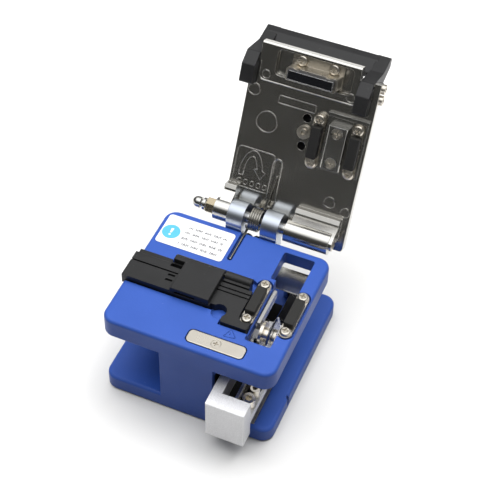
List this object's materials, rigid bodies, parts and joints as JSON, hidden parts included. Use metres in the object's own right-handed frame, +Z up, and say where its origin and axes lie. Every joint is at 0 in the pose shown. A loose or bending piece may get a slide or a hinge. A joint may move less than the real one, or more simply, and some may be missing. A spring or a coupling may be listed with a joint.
{
  "type": "optical fibre cleaver",
  "caption": "Bench-top cleaver for optical fibre: a spring-opened lid clamps the fibre over a deck while a sliding blade scores it and a sprung anvil bends it.",
  "frame": {"origin": "centre of the underside of the base, on the surface that it stands on", "axes": "+Z up, +X to the user's right along the hinge, +Y away from the user"},
  "size_m": [0.0654, 0.1188, 0.094],
  "materials": {
    "blue_paint": "satin paint on a machined casting",
    "black_rubber": "matt",
    "pad_rubber": "fine matt rubber",
    "nickel": "nickel plate, slightly warm",
    "mirror_nickel": "mirror polished nickel plate",
    "label": "printed film",
    "black_plastic": "fine spark texture",
    "magnet": "nickel plated magnet",
    "steel": "machined",
    "polished_steel": "polished",
    "black_oxide": "black oxide",
    "spring_steel": "drawn wire",
    "blasted_aluminium": "bead blasted",
    "bare_aluminium": "turned",
    "carbide": "ground carbide",
    "brass_plate": "plated brass"
  },
  "bodies": {
    "body": {"body_casting": "blue_paint", "rubber_sole": "black_rubber", "striker_plate": "nickel", "striker_screw": "nickel", "info_label": "label", "fibre_holder": "black_plastic", "holder_magnets": "magnet", "holder_screws": "steel", "flap_pin": "steel", "lower_clamp_left": "nickel", "lower_pad_left": "pad_rubber", "lower_clamp_right": "nickel", "lower_pad_right": "pad_rubber", "lower_clamp_screws": "nickel", "support_bar": "steel", "chip_plate": "polished_steel", "chip_plate_screws": "steel", "slide_rail": "black_oxide", "rail_screws": "black_oxide", "guide_strip": "polished_steel", "guide_strip_screws": "steel", "stroke_stop": "steel", "hinge_bracket": "bare_aluminium", "hinge_bracket_screws": "black_oxide", "hinge_shaft": "steel", "spring_coil": "spring_steel", "spring_fixed_leg": "spring_steel"},
    "flap": {"holder_flap": "black_plastic", "flap_keepers": "steel"},
    "carriage": {"carriage_block": "blasted_aluminium", "rail_runner": "steel", "carriage_screws": "black_oxide", "height_screws": "nickel", "blade_holder": "nickel", "blade_axle": "nickel"},
    "blade": {"blade_wheel": "carbide"},
    "lid": {"lid_plate": "mirror_nickel", "spring_lid_leg": "spring_steel", "hinge_stud": "polished_steel", "hinge_lock_nut": "brass_plate", "hinge_end_screw": "nickel", "upper_clamp_left": "nickel", "upper_pad_left": "pad_rubber", "upper_clamp_right": "nickel", "upper_pad_right": "pad_rubber", "upper_clamp_screws": "nickel", "anvil_base": "polished_steel", "magnet_bracket": "nickel", "latch_magnet": "magnet", "magnet_screws": "nickel", "anvil_springs": "spring_steel", "anvil_adjuster": "nickel", "handle": "black_plastic", "handle_screws": "nickel"},
    "anvil": {"anvil_plate": "polished_steel", "anvil_screws": "nickel"}
  },
  "joints": [
    {"name": "lid_hinge", "type": "hinge", "parent": "body", "child": "lid", "pos_m": [0, 0.0277, 0.0401], "axis": [1, 0, 0], "range_deg": [0, 115.6], "stiffness_Nm_per_rad": 0.02, "springref_deg": -28.65},
    {"name": "anvil_press", "type": "slide", "parent": "lid", "child": "anvil", "axis": [0, -0.9018, 0.4321], "range_m": [0, 0.0008], "stiffness_N_per_m": 600},
    {"name": "carriage_slide", "type": "slide", "parent": "body", "child": "carriage", "axis": [0, 1, 0], "range_m": [0, 0.017]},
    {"name": "blade_turn", "type": "hinge", "parent": "carriage", "child": "blade", "pos_m": [0.0231, -0.0128, 0.0322], "axis": [1, 0, 0], "continuous": true},
    {"name": "flap_hinge", "type": "hinge", "parent": "body", "child": "flap", "pos_m": [0, 0.0001, 0.0395], "axis": [1, 0, 0], "range_deg": [-95, 0]}
  ]
}
